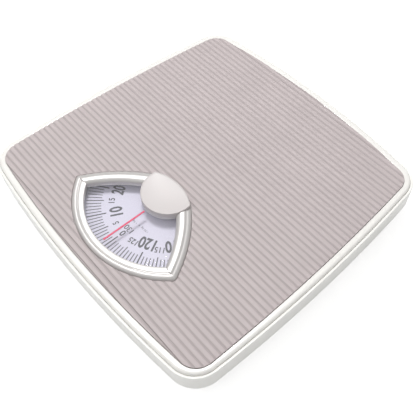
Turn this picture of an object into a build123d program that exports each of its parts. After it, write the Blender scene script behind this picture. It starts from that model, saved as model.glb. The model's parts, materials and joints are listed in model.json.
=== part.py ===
from build123d import *
import math
import os

# Mechanical personal scale with a rotating dial. Millimetres.
# +X is the user's right, +Y the toe edge with the dial, +Z up, floor at Z = 0.

# Heights over the floor
PAN_Z = 5.0  # underside of the tray's floor
WAIST_Z = 22.0  # where the tray's wall is widest, over its tapered lower flank
RIM_Z = 41.5  # top edge of the tray's wall
COVER_TOP = 43.2  # the cover's margin around the mat
MAT_TOP = 44.0
BEZEL_TOP = 47.4
CAP_TOP = 48.6
SKIRT_Z = 30.5  # lower edge of the cover's skirt

# Sheets and walls
TRAY_WALL = 1.8
STEEL = 1.0  # cover
BRACKET = 1.5  # bracket sheet
MAT_THICK = 2.0
RIB_PITCH = 5.32
RIB_DEPTH = 0.7
RIB_GROOVE = 1.5

# Plan of the body: corner points before rounding, and the bow of each edge
BODY_TOE = (142.9, 133.5)
BODY_HEEL = (132.2, -132.5)
BODY_HALF_MID = 143.8
BODY_TOE_MID = 142.8
BODY_HEEL_MID = -142.8
BODY_CORNER = 26.0
FLANK_INSET = 8.0  # how far the flank draws in from the waist to the floor
COVER_INSET = 2.7  # cover's edge inside the body's outline

# Plan of the mat
MAT_TOE = (136.4, 125.6)
MAT_HEEL = (124.9, -123.9)
MAT_HALF_MID = 135.0
MAT_TOE_MID = 133.8
MAT_HEEL_MID = -133.8
MAT_TOE_CORNER = 17.0
MAT_HEEL_CORNER = 15.0

# Dial and window
DIAL_Y = 40.0
DIAL_R = 74.0
DIAL_TOP = 34.3
DIAL_THICK = 0.8
BEZEL_R = 82.0
BEZEL_TIP = (68.5, 88.5)
BEZEL_SIDE = (50.3, 59.9)
BEZEL_KNEE = (27.0, 37.4)
BEZEL_HEEL_Y = 28.2
WINDOW_R = 72.3
WINDOW_TIP = (54.5, 87.5)
WINDOW_SIDE = (40.5, 67.6)
WINDOW_KNEE = (22.0, 50.0)
CAP_R = 24.2
LENS_THICK = 1.2
LENS_LAP = 2.5
POINTER = (1.5, 42.0, 0.4)
POINTER_Y = 87.5

# Levers: knife pins along X, all at one height, so that they swing about X
KNIFE_Z = 16.5
KNIFE_R = 2.0
KNIFE_GAP = 0.15
KNIFE_LENGTH = 16.0
LEVER_THICK = 2.5
LEVER_TALL = 8.0
NOSE_TALL = 4.0
LONG_FULCRUM = (108.0, -108.0)
SHORT_FULCRUM = (112.0, 108.0)
LOAD_ARM = 30.0  # from the fulcrum knife to the load knife, along Y
NOSE = (10.0, 116.5)
LINK_Y = 0.0
SHORT_TIP_X = 71.6
LINK_X = 67.05
LINK_PIN_R = 1.3
LINK_GAP = 0.25
LINK_TOP_Z = 18.5
LINK_LOW_Z = 14.3

# Spring, crank and rack
STIRRUP_THICK = 1.5
SPRING_Y = 126.0
SPRING_R = 4.2
SPRING_WIRE = 0.8
SPRING_TURNS = 7
BRIDGE_Z = 35.0
CRANK_X = 5.0
CRANK_Y = 107.0
CRANK_Z = 12.0
CRANK_SWING = 80.0
CRANK_LOW_ARM = 3.89
CRANK_PIN_R = 1.25
CRANK_END_R = 0.9
PINION_TEETH = 10
MODULE = 0.475
PRESSURE_ANGLE = math.radians(25)
BACKLASH = 0.12
RACK_Z = 20.5
RACK_THICK = 2.0
SPINDLE_R = 1.2
RUNNING_GAP = 0.05
BUSH_TOP = 18.6
HUB_TALL = 1.0

ZERO_WHEEL = (40.0, 116.0)
RIVET_R = 1.6
RIVET_HEAD_R = 2.6
CORNER_RIVET = 11.0  # a corner bracket's rivets, before and behind its pin
FEET = {
    "foot_front_left": (-94.0, 108.0),
    "foot_front_right": (94.0, 108.0),
    "foot_rear_left": (-88.0, -108.0),
    "foot_rear_right": (88.0, -108.0),
}

pitch_r = MODULE * PINION_TEETH / 2
rack_travel = pitch_r * math.radians(356.5)
crank_high_arm = rack_travel / (2 * math.sin(math.radians(CRANK_SWING / 2)))
floor_z = PAN_Z + TRAY_WALL
mat_floor_z = MAT_TOP - MAT_THICK
stirrup_top = KNIFE_Z - NOSE_TALL / 2 - 0.3
plate_z = mat_floor_z - STEEL  # underside of the cover under the mat
parts = {}


def box(x0, x1, y0, y1, z0, z1):
    """A box between two corners."""
    size = (x1 - x0, y1 - y0, z1 - z0)
    return Pos((x0 + x1) / 2, (y0 + y1) / 2, (z0 + z1) / 2) * Box(*size)


def post(x, y, radius, z0, z1):
    """An upright cylinder."""
    return Pos(x, y, (z0 + z1) / 2) * Cylinder(radius, z1 - z0)


def pin_x(x0, x1, y, z, radius):
    """A cylinder along X."""
    return Pos((x0 + x1) / 2, y, z) * Rot(0, 90, 0) * Cylinder(radius, x1 - x0)


def four_sided(toe, heel, half_mid, toe_mid, heel_mid, toe_corner, heel_corner):
    """A square-ish face with four bowed edges and round corners."""
    toe_left, heel_left = (-toe[0], toe[1]), (-heel[0], heel[1])
    edges = [
        ThreePointArc(heel_left, (-half_mid, 0), toe_left),
        ThreePointArc(toe_left, (0, toe_mid), toe),
        ThreePointArc(toe, (half_mid, 0), heel),
        ThreePointArc(heel, (0, heel_mid), heel_left),
    ]
    face = make_face(edges)
    face = fillet(face.vertices().filter_by_position(Axis.Y, 50, 200), toe_corner)
    return fillet(face.vertices().filter_by_position(Axis.Y, -200, -50), heel_corner)


def body_face(inset=0.0):
    """The body's outline, drawn in by inset."""
    face = four_sided(
        BODY_TOE, BODY_HEEL, BODY_HALF_MID, BODY_TOE_MID, BODY_HEEL_MID, BODY_CORNER, BODY_CORNER
    )
    return offset(face, amount=-inset) if inset else face


def mat_face(grow=0.0):
    """The mat's outline, grown outward."""
    face = four_sided(
        MAT_TOE, MAT_HEEL, MAT_HALF_MID, MAT_TOE_MID, MAT_HEEL_MID, MAT_TOE_CORNER, MAT_HEEL_CORNER
    )
    return offset(face, amount=grow) if grow else face


def fan(arc_r, tip, side, knee, end_y):
    """A fan: an arc about the dial's centre, two bowed sides and a round end."""
    tip_left, side_left, knee_left = (-tip[0], tip[1]), (-side[0], side[1]), (-knee[0], knee[1])
    return make_face(
        [
            ThreePointArc(tip_left, (0, DIAL_Y + arc_r), tip),
            ThreePointArc(tip, side, knee),
            ThreePointArc(knee, (0, end_y), knee_left),
            ThreePointArc(knee_left, side_left, tip_left),
        ]
    )


def bezel_face(grow=0.0):
    """The bezel's outline where it stands on the cover."""
    face = fan(BEZEL_R, BEZEL_TIP, BEZEL_SIDE, BEZEL_KNEE, BEZEL_HEEL_Y)
    return offset(face, amount=grow) if grow else face


def window_face(grow=0.0):
    """The window's outline, closed at the heel by the cap's edge."""
    face = fan(WINDOW_R, WINDOW_TIP, WINDOW_SIDE, WINDOW_KNEE, DIAL_Y + CAP_R)
    return offset(face, amount=grow) if grow else face


def prism(face, z0, z1):
    """A flat face of the XY plane, extruded between two heights."""
    return Pos(0, 0, z0) * extrude(face, z1 - z0)


def stacked(low, z0, high, z1):
    """A loft between two faces at two heights."""
    return loft(Sketch() + [Pos(0, 0, z0) * low, Pos(0, 0, z1) * high])


# ---- housing ----


def base_tray(rivets):
    """The white tray: upright wall, tapered flank and flat floor."""
    outer = prism(body_face(), WAIST_Z, RIM_Z)
    outer += stacked(body_face(FLANK_INSET), PAN_Z, body_face(), WAIST_Z)
    inner = prism(body_face(TRAY_WALL), WAIST_Z, RIM_Z + 1)
    low_face = body_face(FLANK_INSET + TRAY_WALL)
    inner += stacked(low_face, floor_z, body_face(TRAY_WALL), WAIST_Z)
    holes = [post(*ZERO_WHEEL, 10.5, 0, floor_z + 1)]
    holes += [post(x, y, 3.0, 0, floor_z + 1) for x, y in FEET.values()]
    holes += [post(x, y, RIVET_R, 0, floor_z + 1) for x, y in rivets]
    return outer - inner - holes


def foot(x, y):
    """A rubber foot with a stem pushed through the floor."""
    pad = Pos(x, y, PAN_Z / 2) * Cone(10.0, 13.0, PAN_Z)
    pad = fillet(pad.edges().group_by(Axis.Z)[0], 1.5)
    return pad + post(x, y, 3.0, PAN_Z, floor_z) + post(x, y, 4.0, floor_z, floor_z + 1.6)


def platform_cover():
    """The pressed steel cover: margin, recess for the mat, skirt and window."""
    shell = prism(body_face(COVER_INSET), SKIRT_Z, COVER_TOP)
    shell = fillet(shell.edges().group_by(Axis.Z)[-1], 2.4)
    hollow = prism(body_face(COVER_INSET + STEEL), SKIRT_Z - 1, COVER_TOP - STEEL)
    shell -= fillet(hollow.edges().group_by(Axis.Z)[-1], 1.4)
    shell += prism(mat_face(0.3 + STEEL), plate_z, COVER_TOP - STEEL / 2)
    shell -= prism(mat_face(0.3), mat_floor_z, COVER_TOP + 1)
    shell -= prism(window_face(), plate_z - 1, COVER_TOP)
    for x, y in bezel_stakes():
        shell -= post(x, y, 1.5, plate_z - 1, COVER_TOP)
    return shell


def ribbed_mat():
    """The mat, with straight grooves across it and a hole for the bezel."""
    mat = prism(mat_face(), mat_floor_z, MAT_TOP) - prism(bezel_face(0.3), 0, MAT_TOP + 1)
    grooves = []
    first = 111.95 + 4 * RIB_PITCH
    for k in range(51):
        y = first - k * RIB_PITCH
        groove = box(-150, 150, y - RIB_GROOVE / 2, y + RIB_GROOVE / 2, MAT_TOP - RIB_DEPTH, 50)
        grooves.append(groove)
    return mat - grooves


def bezel_stakes():
    """Where the bezel's three stakes pass through the cover."""
    return [(-64.0, 86.0), (64.0, 86.0), (0.0, 31.8)]


def window_bezel():
    """The fan-shaped silver frame, with a seat for the cap and a rebate for the lens."""
    frame = prism(bezel_face(), mat_floor_z, BEZEL_TOP)
    frame = chamfer(frame.edges().group_by(Axis.Z)[-1], 2.6, 3.0)
    frame -= prism(window_face(), 0, BEZEL_TOP + 1)
    frame -= prism(window_face(LENS_LAP), mat_floor_z, mat_floor_z + LENS_THICK)
    frame -= post(0, DIAL_Y, CAP_R + 0.1, BEZEL_TOP - 2.4, CAP_TOP + 1)
    for x, y in bezel_stakes():
        frame += post(x, y, 1.5, plate_z - 1.2, mat_floor_z)
    return frame


def bezel_cap():
    """The flat round cap over the hub, cut off by the bezel's heel end."""
    disc = post(0, DIAL_Y, CAP_R, BEZEL_TOP - 2.4, CAP_TOP)
    return disc & prism(bezel_face(-0.8), 0, CAP_TOP + 1)


def bezel_washers():
    """Push-on washers that hold the bezel's stakes under the cover."""
    rings = []
    for x, y in bezel_stakes():
        rings.append(post(x, y, 3.0, plate_z - 0.8, plate_z) - post(x, y, 1.5, 0, 60))
    return Compound(rings)


def window_lens():
    """The clear window, clamped between the bezel and the cover."""
    return prism(window_face(LENS_LAP - 0.2), mat_floor_z, mat_floor_z + LENS_THICK)


def pointer_line():
    """The red line on the window."""
    wide, long, thick = POINTER
    low = mat_floor_z + LENS_THICK
    return box(-wide / 2, wide / 2, POINTER_Y - long / 2, POINTER_Y + long / 2, low, low + thick)


def cover_stiffener(y):
    """A top-hat channel welded across the cover's underside."""
    hat = box(-104, 104, y - 9, y + 9, plate_z - 1.2, plate_z)
    hat += box(-104, 104, y - 5, y + 5, plate_z - 6, plate_z)
    return hat - box(-105, 105, y - 3.8, y + 3.8, plate_z - 4.8, plate_z)


# ---- levers ----


def lever_x(start, end, y):
    """The X of a lever's middle line at a given Y."""
    return start[0] + (end[0] - start[0]) * (y - start[1]) / (end[1] - start[1])


def lever_bar(start, end, past_start, past_end, end_tall):
    """A flat bar on edge from start to end, tapered along its last part."""
    dx, dy = end[0] - start[0], end[1] - start[1]
    span = math.hypot(dx, dy)
    turn = math.degrees(math.atan2(dy, dx))
    taper = 0.55 * span
    tip = span + past_end
    corners = [
        (-past_start, -LEVER_TALL / 2),
        (taper, -LEVER_TALL / 2),
        (span - 10, -end_tall / 2),
        (tip, -end_tall / 2),
        (tip, end_tall / 2),
        (span - 10, end_tall / 2),
        (taper, LEVER_TALL / 2),
        (-past_start, LEVER_TALL / 2),
    ]
    side = fillet(make_face(Polyline(*corners, close=True)).vertices().group_by(Axis.X)[0], 2.5)
    bar = Rot(90, 0, 0) * extrude(side, LEVER_THICK / 2, both=True)
    return Pos(start[0], start[1], KNIFE_Z) * Rot(0, 0, turn) * bar


def knife(x, y, half=KNIFE_LENGTH / 2):
    """A knife pin across a lever."""
    return pin_x(x - half, x + half, y, KNIFE_Z, KNIFE_R)


def fulcrum_bracket(x, y):
    """Two ears on the floor with open notches, which hold a fulcrum pin."""
    bracket = box(x - 8, x + 8, y - 14.5, y + 14.5, floor_z, floor_z + BRACKET)
    for side in (-1, 1):
        ear_x = x + side * 5.5
        ear = box(ear_x - 0.75, ear_x + 0.75, y - 6, y + 6, floor_z, KNIFE_Z + 3)
        bracket += fillet(ear.edges().filter_by(Axis.X).group_by(Axis.Z)[-1], 2)
    notch_r = KNIFE_R + KNIFE_GAP
    bracket -= pin_x(x - 9, x + 9, y, KNIFE_Z, notch_r)
    bracket -= box(x - 9, x + 9, y - notch_r, y + notch_r, KNIFE_Z, KNIFE_Z + 5)
    for rx, ry in rivet_pair(x, y):
        bracket -= post(rx, ry, RIVET_R, 0, 20)
    return bracket


def rivet_pair(x, y):
    """The two rivets of a corner bracket."""
    return [(x, y - CORNER_RIVET), (x, y + CORNER_RIVET)]


def load_bracket(x, y):
    """Two ears under the cover with notches open downward, over a load pin."""
    bracket = box(x - 10, x + 10, y - 9, y + 9, plate_z - BRACKET, plate_z)
    for side in (-1, 1):
        ear_x = x + side * 5.5
        ear = box(ear_x - 0.75, ear_x + 0.75, y - 6, y + 6, KNIFE_Z - 2.5, plate_z)
        bracket += fillet(ear.edges().filter_by(Axis.X).group_by(Axis.Z)[0], 2)
    notch_r = KNIFE_R + KNIFE_GAP
    bracket -= pin_x(x - 9, x + 9, y, KNIFE_Z, notch_r)
    return bracket - box(x - 9, x + 9, y - notch_r, y + notch_r, KNIFE_Z - 5, KNIFE_Z)


def long_lever(side):
    """A long lever, its three pins and the link that hangs on it."""
    name = "right" if side > 0 else "left"
    start, end = (side * LONG_FULCRUM[0], LONG_FULCRUM[1]), (side * NOSE[0], NOSE[1])
    load_y = start[1] + LOAD_ARM
    load_x, link_x = lever_x(start, end, load_y), lever_x(start, end, LINK_Y)
    fulcrum, load = knife(*start), knife(load_x, load_y)
    reach = sorted((link_x - side * 2.5, side * (LINK_X + 1.6)))
    link_pin = pin_x(*reach, LINK_Y, LINK_TOP_Z, LINK_PIN_R)
    bar = lever_bar(start, end, 7, 2, NOSE_TALL) - fulcrum - load - link_pin
    parts[f"long_lever_{name}"] = bar
    parts[f"fulcrum_pin_rear_{name}"] = fulcrum
    parts[f"load_pin_rear_{name}"] = load
    parts[f"link_hanger_pin_{name}"] = link_pin
    parts[f"load_bracket_rear_{name}"] = load_bracket(load_x, load_y)


def short_lever(side):
    """A short lever with its three pins."""
    name = "right" if side > 0 else "left"
    start = (side * SHORT_FULCRUM[0], SHORT_FULCRUM[1])
    end = (side * SHORT_TIP_X, LINK_Y)
    load_y = start[1] - LOAD_ARM
    load_x = lever_x(start, end, load_y)
    fulcrum, load = knife(*start), knife(load_x, load_y)
    reach = sorted((end[0] + side * 2.5, side * (LINK_X - 1.6)))
    tip_pin = pin_x(*reach, LINK_Y, LINK_LOW_Z, LINK_PIN_R)
    parts[f"short_lever_{name}"] = lever_bar(start, end, 7, 3, LEVER_TALL) - fulcrum - load - tip_pin
    parts[f"fulcrum_pin_front_{name}"] = fulcrum
    parts[f"load_pin_front_{name}"] = load
    parts[f"short_lever_tip_pin_{name}"] = tip_pin
    parts[f"load_bracket_front_{name}"] = load_bracket(load_x, load_y)


def coupling_link(side):
    """The plate that hangs a short lever's tip from its long lever."""
    x = side * LINK_X
    link = box(x - 0.75, x + 0.75, LINK_Y - 3.2, LINK_Y + 3.2, LINK_LOW_Z - 3.2, LINK_TOP_Z + 3.2)
    link = fillet(link.edges().filter_by(Axis.X), 3)
    for z in (LINK_LOW_Z, LINK_TOP_Z):
        link -= pin_x(x - 2, x + 2, LINK_Y, z, LINK_PIN_R + LINK_GAP)
    return link


# ---- spring, crank, rack and dial ----


def nose_stirrup():
    """The stirrup under both long levers, with the spring's eye and the crank's finger."""
    top = stirrup_top
    low = top - STIRRUP_THICK
    bar = box(-14, 14, NOSE[1] - 2, NOSE[1] + 2, low, top)
    bar += box(-3.5, 3.5, NOSE[1] + 2, SPRING_Y + 4, low, top)
    bar -= post(0, SPRING_Y, 1.4, 0, 40)
    tilt = math.radians(CRANK_SWING / 2)
    finger_z = CRANK_Z + CRANK_LOW_ARM * math.sin(tilt) + CRANK_END_R + 0.3
    tip_y = CRANK_Y + CRANK_LOW_ARM * math.cos(tilt)
    wall_y = CRANK_Y + CRANK_LOW_ARM + CRANK_END_R + 0.5
    bar += box(CRANK_X - 1.5, CRANK_X + 1.5, wall_y, NOSE[1] + 2, low, finger_z + 1.8)
    return bar + box(CRANK_X - 1.5, CRANK_X + 1.5, tip_y, wall_y, finger_z, finger_z + 1.8)


def bell_crank():
    """The crank: a low arm under the stirrup's finger and a high arm in the rack."""
    tilt = math.radians(CRANK_SWING / 2)
    low = (CRANK_Y + CRANK_LOW_ARM * math.cos(tilt), CRANK_Z + CRANK_LOW_ARM * math.sin(tilt))
    high = (CRANK_Y - crank_high_arm * math.sin(tilt), CRANK_Z + crank_high_arm * math.cos(tilt))
    crank = pin_x(CRANK_X - 1, CRANK_X + 1, CRANK_Y, CRANK_Z, 2.4)
    for y, z in (low, high):
        crank += pin_x(CRANK_X - 1, CRANK_X + 1, y, z, CRANK_END_R)
        arm = math.hypot(y - CRANK_Y, z - CRANK_Z)
        angle = math.degrees(math.atan2(z - CRANK_Z, y - CRANK_Y))
        bar = box(-1, 1, 0, arm, -0.7, 0.7)
        crank += Pos(CRANK_X, CRANK_Y, CRANK_Z) * Rot(angle, 0, 0) * bar
    return crank - pin_x(CRANK_X - 2, CRANK_X + 2, CRANK_Y, CRANK_Z, CRANK_PIN_R + RUNNING_GAP)


def crank_bracket():
    """Two ears on the floor that carry the crank's pivot pin."""
    base = (CRANK_X - 8.5, CRANK_X + 8.5, CRANK_Y - 13, CRANK_Y + 4)
    bracket = box(*base, floor_z, floor_z + BRACKET)
    for side in (-1, 1):
        ear_x = CRANK_X + side * 2.6
        ear = box(ear_x - 0.75, ear_x + 0.75, CRANK_Y - 3, CRANK_Y + 3, floor_z, CRANK_Z + 3)
        bracket += fillet(ear.edges().filter_by(Axis.X).group_by(Axis.Z)[-1], 2.5)
    bracket -= pin_x(CRANK_X - 9, CRANK_X + 9, CRANK_Y, CRANK_Z, CRANK_PIN_R)
    for x, y in crank_rivets():
        bracket -= post(x, y, RIVET_R, 0, 20)
    return bracket


def crank_rivets():
    """The crank bracket's rivets."""
    return [(CRANK_X - 4.5, CRANK_Y - 9), (CRANK_X + 4.5, CRANK_Y - 9)]


def spring_bridge():
    """The steel bridge that the main spring hangs from, with an ear for the zero screw."""
    x, y0, y1 = 22.0, 119.5, 130.5
    bridge = box(-x, x, y0, y1, BRIDGE_Z, BRIDGE_Z + BRACKET)
    for side in (-1, 1):
        leg = sorted((side * x, side * (x - BRACKET)))
        flange = sorted((side * (x - BRACKET), side * (x + 8.7)))
        bridge += box(*leg, y0, y1, floor_z, BRIDGE_Z + BRACKET)
        bridge += box(*flange, y0, y1, floor_z, floor_z + BRACKET)
    wx, wy = ZERO_WHEEL
    bridge += box(x - 4, wx + 6, wy - 3, y0 + 6, BRIDGE_Z, BRIDGE_Z + BRACKET)
    bridge -= post(wx, wy, 2.0 + RUNNING_GAP, BRIDGE_Z - 1, BRIDGE_Z + 3)
    bridge -= post(0, SPRING_Y, 1.4, BRIDGE_Z - 1, BRIDGE_Z + 3)
    for rx, ry in bridge_rivets():
        bridge -= post(rx, ry, RIVET_R, 0, 20)
    return bridge


def bridge_rivets():
    """The spring bridge's rivets."""
    return [(-28.0, 125.0), (28.0, 125.0)]


def main_spring():
    """The tension spring between the bridge and the stirrup."""
    low, high = stirrup_top + 0.1, BRIDGE_Z - 0.1
    hook = 2.2
    height = high - low - 2 * hook
    foot_of_coil = (0, SPRING_Y, low + hook)
    path = Helix(pitch=height / SPRING_TURNS, height=height, radius=SPRING_R, center=foot_of_coil)
    coil = sweep(Plane(origin=path @ 0, z_dir=path % 0) * Circle(SPRING_WIRE), path=path)
    ends = []
    for end_z, turn_z in ((low, low + hook), (high, high - hook)):
        ends.append(post(0, SPRING_Y, SPRING_WIRE, *sorted((end_z, turn_z))))
        ends.append(Pos(0, SPRING_Y, turn_z) * Sphere(SPRING_WIRE))
        ends.append(pin_x(0, SPRING_R, SPRING_Y, turn_z, SPRING_WIRE))
        ends.append(Pos(SPRING_R, SPRING_Y, turn_z) * Sphere(SPRING_WIRE))
    return coil + ends


def tooth_half_angle(radius):
    """Half the angle that one pinion tooth takes up at a radius: an involute flank."""
    base = pitch_r * math.cos(PRESSURE_ANGLE)
    at_pitch = math.pi / (2 * PINION_TEETH) - BACKLASH / (2 * pitch_r)
    involute = math.tan(PRESSURE_ANGLE) - PRESSURE_ANGLE
    if radius <= base:
        return at_pitch + involute
    angle = math.acos(base / radius)
    return at_pitch + involute - (math.tan(angle) - angle)


def pinion():
    """The small pinion under the dial, one tooth pointing at the rack."""
    tip_r, root_r = pitch_r + 0.7 * MODULE, pitch_r - MODULE
    radii = [root_r + (tip_r - root_r) * k / 6 for k in range(7)]
    points = []
    for tooth in range(PINION_TEETH):
        middle = 2 * math.pi * tooth / PINION_TEETH
        flank = [(r, -tooth_half_angle(r)) for r in radii]
        flank += [(r, tooth_half_angle(r)) for r in reversed(radii)]
        points += [(r * math.cos(middle + a), r * math.sin(middle + a)) for r, a in flank]
    outline = make_face(Polyline(*points, close=True))
    return Pos(0, DIAL_Y, RACK_Z - 0.2) * extrude(outline, RACK_THICK + 0.4)


def dial_spindle():
    """Spindle and pinion in one piece, with a shoulder under the dial."""
    spindle = pinion() + post(0, DIAL_Y, SPINDLE_R, BUSH_TOP - 5.5, DIAL_TOP + HUB_TALL)
    spindle += post(0, DIAL_Y, pitch_r - MODULE, BUSH_TOP + RUNNING_GAP, RACK_Z)
    shoulder_z = DIAL_TOP - DIAL_THICK
    return spindle + post(0, DIAL_Y, 4.0, shoulder_z - 1.0, shoulder_z)


def dial_disc():
    """The printed dial, a flat disc."""
    return post(0, DIAL_Y, DIAL_R, DIAL_TOP - DIAL_THICK, DIAL_TOP) - post(0, DIAL_Y, SPINDLE_R, 0, 50)


def dial_hub():
    """The collar pressed on the spindle over the dial."""
    collar = post(0, DIAL_Y, 4.5, DIAL_TOP, DIAL_TOP + HUB_TALL)
    return collar - post(0, DIAL_Y, SPINDLE_R, 0, 50)


def dial_rack():
    """The toothed rod, with a slot for the crank's high arm."""
    rack_x = pitch_r + MODULE
    slot_y = CRANK_Y - rack_travel / 2
    rack = box(rack_x, rack_x + 4, 20, slot_y, RACK_Z, RACK_Z + RACK_THICK)
    rack += box(CRANK_X - 3.5, CRANK_X + 3.5, slot_y - 4, slot_y + 3, RACK_Z, RACK_Z + RACK_THICK)
    rack -= box(CRANK_X - 1.4, CRANK_X + 1.4, slot_y - 1.9, slot_y + 1.9, RACK_Z - 1, RACK_Z + 5)
    pitch = math.pi * MODULE
    half_root = pitch / 4 - BACKLASH / 2 + MODULE * math.tan(PRESSURE_ANGLE)
    half_tip = pitch / 4 - BACKLASH / 2 - 0.7 * MODULE * math.tan(PRESSURE_ANGLE)
    tip_x = pitch_r - 0.7 * MODULE
    teeth = []
    count = math.ceil((rack_travel + 3) / pitch)
    for k in range(-count, 3):
        y = DIAL_Y + (k + 0.5) * pitch
        corners = [
            (rack_x + 0.1, y - half_root),
            (tip_x, y - half_tip),
            (tip_x, y + half_tip),
            (rack_x + 0.1, y + half_root),
        ]
        teeth.append(prism(make_face(Polyline(*corners, close=True)), RACK_Z, RACK_Z + RACK_THICK))
    return rack + teeth


def dial_bracket():
    """The bridge under the dial, with the spindle's seat and the rack's guide."""
    y0, y1, top = DIAL_Y - 7, DIAL_Y + 7, BUSH_TOP - 1
    bracket = box(-14, 14, y0, y1, top - BRACKET, top)
    for side in (-1, 1):
        leg = sorted((side * 14, side * (14 - BRACKET)))
        flange = sorted((side * (14 - BRACKET), side * 23))
        bracket += box(*leg, y0, y1, floor_z, top)
        bracket += box(*flange, y0, y1, floor_z, floor_z + BRACKET)
    guide_x = pitch_r + MODULE + 4.15
    bracket += box(4.2, guide_x + 1.5, DIAL_Y - 4, DIAL_Y + 4, top, RACK_Z - 0.2)
    roof_z = RACK_Z + RACK_THICK + 0.2
    bracket += box(guide_x, guide_x + 1.5, DIAL_Y - 4, DIAL_Y + 4, top, roof_z + 1.4)
    bracket += box(4.2, guide_x + 1.5, DIAL_Y - 4, DIAL_Y + 4, roof_z, roof_z + 1.4)
    bracket -= post(0, DIAL_Y, 3.0, top - 3, top + 1)
    for x, y in dial_rivets():
        bracket -= post(x, y, RIVET_R, 0, 20)
    return bracket


def dial_rivets():
    """The dial bracket's rivets."""
    return [(-19.0, DIAL_Y), (19.0, DIAL_Y)]


def spindle_bush():
    """The spindle's bearing, pressed into the dial bracket."""
    bush = post(0, DIAL_Y, 3.0, BUSH_TOP - 4, BUSH_TOP) + post(0, DIAL_Y, 4.0, BUSH_TOP - 1, BUSH_TOP)
    return bush - post(0, DIAL_Y, SPINDLE_R + RUNNING_GAP, 0, 40)


def rivet(x, y):
    """A rivet through a bracket and the floor."""
    low = post(x, y, RIVET_HEAD_R, PAN_Z - 0.8, PAN_Z)
    high = post(x, y, RIVET_HEAD_R, floor_z + BRACKET, floor_z + BRACKET + 1.2)
    return low + post(x, y, RIVET_R, PAN_Z - 0.8, floor_z + BRACKET) + high


def zero_thumbwheel():
    """The knurled wheel in the floor's hole."""
    x, y = ZERO_WHEEL
    wheel = post(x, y, 9.5, PAN_Z - 1.6, PAN_Z + 2.6)
    grooves = []
    for k in range(24):
        angle = math.radians(15 * k)
        grooves.append(post(x + 9.8 * math.cos(angle), y + 9.8 * math.sin(angle), 0.8, 0, 20))
    return wheel - grooves - post(x, y, 2.0, 0, 40)


def zero_screw():
    """The screw that the wheel turns in the bridge's ear."""
    return post(*ZERO_WHEEL, 2.0, PAN_Z - 1.6, BRIDGE_Z + BRACKET)


def build():
    """Makes every piece."""
    for side in (-1, 1):
        long_lever(side)
        short_lever(side)
    parts["coupling_link_left"] = coupling_link(-1)
    parts["coupling_link_right"] = coupling_link(1)
    corners = {
        "rear_left": (-LONG_FULCRUM[0], LONG_FULCRUM[1]),
        "rear_right": LONG_FULCRUM,
        "front_left": (-SHORT_FULCRUM[0], SHORT_FULCRUM[1]),
        "front_right": SHORT_FULCRUM,
    }
    rivets = crank_rivets() + bridge_rivets() + dial_rivets()
    for name, (x, y) in corners.items():
        parts[f"fulcrum_bracket_{name}"] = fulcrum_bracket(x, y)
        rivets += rivet_pair(x, y)
    for name, (x, y) in FEET.items():
        parts[name] = foot(x, y)
    parts["base_tray"] = base_tray(rivets)
    parts["bracket_rivets"] = Compound([rivet(x, y) for x, y in rivets])
    parts["crank_pivot_pin"] = pin_x(CRANK_X - 4.4, CRANK_X + 4.4, CRANK_Y, CRANK_Z, CRANK_PIN_R)
    parts["cover_stiffener_middle"] = cover_stiffener(-56)
    parts["cover_stiffener_rear"] = cover_stiffener(-100)
    pieces = [
        platform_cover, ribbed_mat, window_bezel, bezel_cap, bezel_washers, window_lens,
        pointer_line, nose_stirrup, bell_crank, crank_bracket, spring_bridge, main_spring,
        dial_spindle, dial_disc, dial_hub, dial_rack, dial_bracket, spindle_bush,
        zero_thumbwheel, zero_screw,
    ]
    for piece in pieces:
        parts[piece.__name__] = piece()


build()
os.makedirs("parts", exist_ok=True)
for name, shape in parts.items():
    export_step(shape, f"parts/{name}.step")
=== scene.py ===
"""Personal scale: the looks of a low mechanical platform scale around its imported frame."""

import json
import math

import bmesh
import bpy
from bpy.props import FloatProperty, FloatVectorProperty, IntProperty, PointerProperty
from mathutils import Matrix, Vector
from mathutils.kdtree import KDTree


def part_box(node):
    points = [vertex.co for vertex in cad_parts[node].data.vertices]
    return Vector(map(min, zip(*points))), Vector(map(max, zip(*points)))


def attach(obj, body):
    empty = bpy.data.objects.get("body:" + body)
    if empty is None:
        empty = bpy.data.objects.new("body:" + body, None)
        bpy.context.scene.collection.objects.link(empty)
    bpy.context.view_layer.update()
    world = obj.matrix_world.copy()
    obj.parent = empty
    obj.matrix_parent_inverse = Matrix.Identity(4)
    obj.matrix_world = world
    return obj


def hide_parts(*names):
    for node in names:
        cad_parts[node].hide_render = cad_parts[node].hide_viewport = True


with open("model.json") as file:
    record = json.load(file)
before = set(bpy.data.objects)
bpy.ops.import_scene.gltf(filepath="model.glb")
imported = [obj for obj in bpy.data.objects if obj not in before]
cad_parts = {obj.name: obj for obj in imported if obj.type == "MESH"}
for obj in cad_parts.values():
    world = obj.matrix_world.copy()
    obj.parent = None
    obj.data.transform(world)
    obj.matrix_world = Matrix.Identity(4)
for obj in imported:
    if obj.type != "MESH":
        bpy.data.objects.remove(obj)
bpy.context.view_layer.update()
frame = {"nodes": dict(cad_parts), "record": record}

bl_info = {
    "name": "Personal scale",
    "version": (1, 0, 0),
    "blender": (4, 5, 0),
    "location": "3D View > Sidebar > Scale",
    "description": "Builds the shells, mat, window frame and dial print of a mechanical platform scale",
    "category": "Object",
}

MM = 0.001
CORNER_STEPS = 14
SIDE_STEPS = 34


def linear(code):
    """An sRGB hex colour as linear red, green and blue."""
    parts = [int(code[i : i + 2], 16) / 255 for i in (1, 3, 5)]
    return tuple(c / 12.92 if c <= 0.04045 else ((c + 0.055) / 1.055) ** 2.4 for c in parts)


# ---- sizes and colours a user would change ----


def length(name, text, millimetres):
    """A length property, given in millimetres."""
    return FloatProperty(name=name, description=text, default=millimetres * MM, unit="LENGTH", precision=5)


def colour(name, text, code):
    """A colour property, given as an sRGB hex value."""
    return FloatVectorProperty(name=name, description=text, default=linear(code), size=3, subtype="COLOR")


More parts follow.
